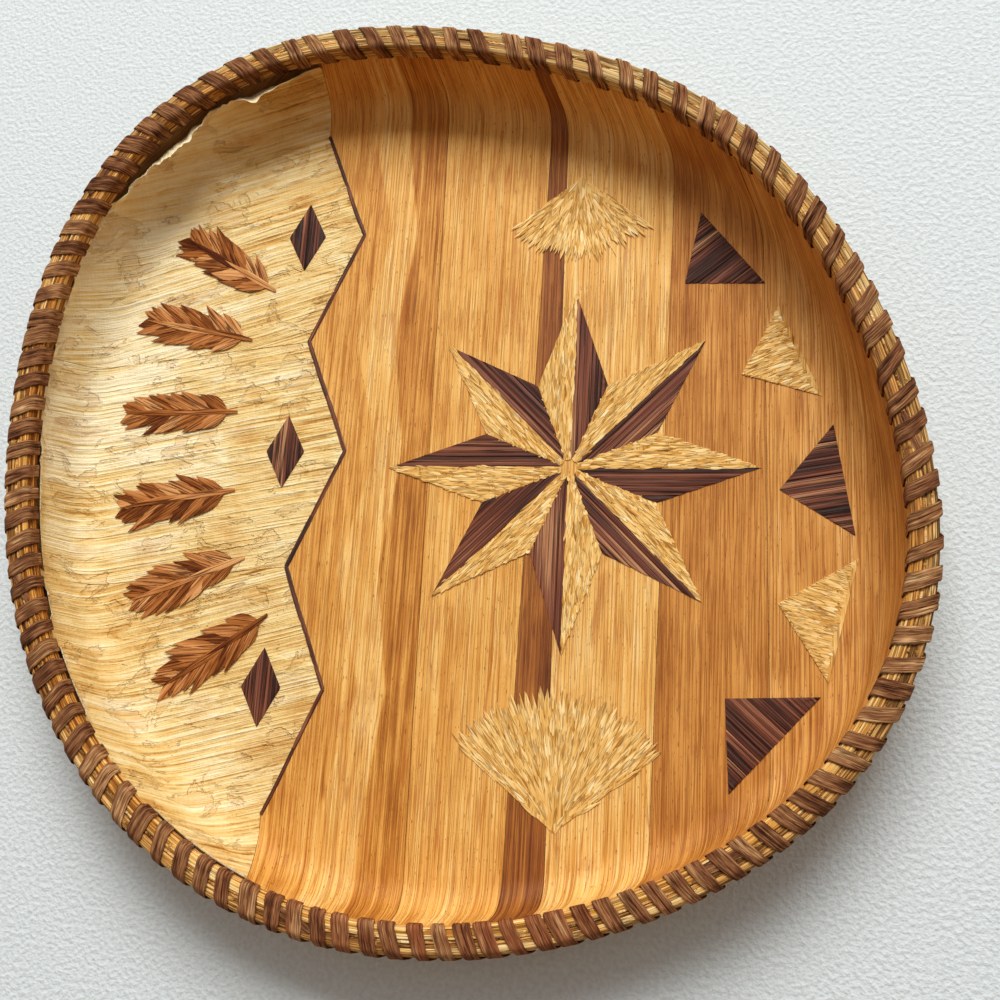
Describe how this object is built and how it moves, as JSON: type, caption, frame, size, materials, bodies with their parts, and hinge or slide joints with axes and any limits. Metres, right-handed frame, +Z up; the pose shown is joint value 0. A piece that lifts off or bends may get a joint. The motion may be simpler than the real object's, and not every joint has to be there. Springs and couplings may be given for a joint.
{
  "type": "basketry tray",
  "caption": "Shallow rounded-square basketry tray with a lashed double-hoop rim and a straw and veneer marquetry lining.",
  "frame": {"origin": "middle of the plan at the underside of the woven floor", "axes": "+Z up out of the open tray, +X to the veneered side, +Y to the upper wall"},
  "size_m": [0.3902, 0.3954, 0.042],
  "materials": {
    "plaited_cane": "satin",
    "split_cane": "satin",
    "rim_splint": "matte",
    "bark_lashing": "matte",
    "straw_husk": "satin",
    "tan_veneer": "satin",
    "brown_veneer": "satin",
    "split_straw": "satin",
    "dark_bark": "satin",
    "leaf_bark": "matte",
    "outline_strip": "matte"
  },
  "bodies": {
    "root": {"border_tooth_1": "dark_bark", "border_tooth_2": "split_straw", "border_tooth_3": "dark_bark", "border_tooth_4": "split_straw", "border_tooth_5": "dark_bark", "feather_leaf_1": "leaf_bark", "feather_leaf_2": "leaf_bark", "feather_leaf_3": "leaf_bark", "feather_leaf_4": "leaf_bark", "feather_leaf_5": "leaf_bark", "feather_leaf_6": "leaf_bark", "husk_sheet_1": "straw_husk", "husk_sheet_2": "straw_husk", "husk_sheet_3": "straw_husk", "inner_rim_hoop": "split_cane", "lashing_strip_1": "bark_lashing", "lashing_strip_2": "bark_lashing", "lashing_strip_3": "bark_lashing", "lashing_strip_4": "bark_lashing", "lashing_strip_5": "bark_lashing", "lashing_strip_6": "bark_lashing", "lozenge_1": "dark_bark", "lozenge_2": "dark_bark", "lozenge_3": "dark_bark", "outer_rim_splint_1": "rim_splint", "outer_rim_splint_2": "rim_splint", "outer_rim_splint_3": "rim_splint", "star_dark_1": "dark_bark", "star_dark_2": "dark_bark", "star_dark_3": "dark_bark", "star_dark_4": "dark_bark", "star_dark_5": "dark_bark", "star_dark_6": "dark_bark", "star_dark_7": "dark_bark", "star_dark_8": "dark_bark", "star_light_1": "split_straw", "star_light_2": "split_straw", "star_light_3": "split_straw", "star_light_4": "split_straw", "star_light_5": "split_straw", "star_light_6": "split_straw", "star_light_7": "split_straw", "star_light_8": "split_straw", "straw_fan_lower": "split_straw", "straw_fan_upper": "split_straw", "upright_veneer_1": "tan_veneer", "upright_veneer_2": "tan_veneer", "upright_veneer_3": "brown_veneer", "upright_veneer_4": "tan_veneer", "upright_veneer_5": "tan_veneer", "upright_veneer_6": "tan_veneer", "woven_mat_base": "plaited_cane", "zigzag_strip_1": "outline_strip", "zigzag_strip_2": "outline_strip", "zigzag_strip_3": "outline_strip", "zigzag_strip_4": "outline_strip", "zigzag_strip_5": "outline_strip", "zigzag_strip_6": "outline_strip"}
  },
  "joints": []
}
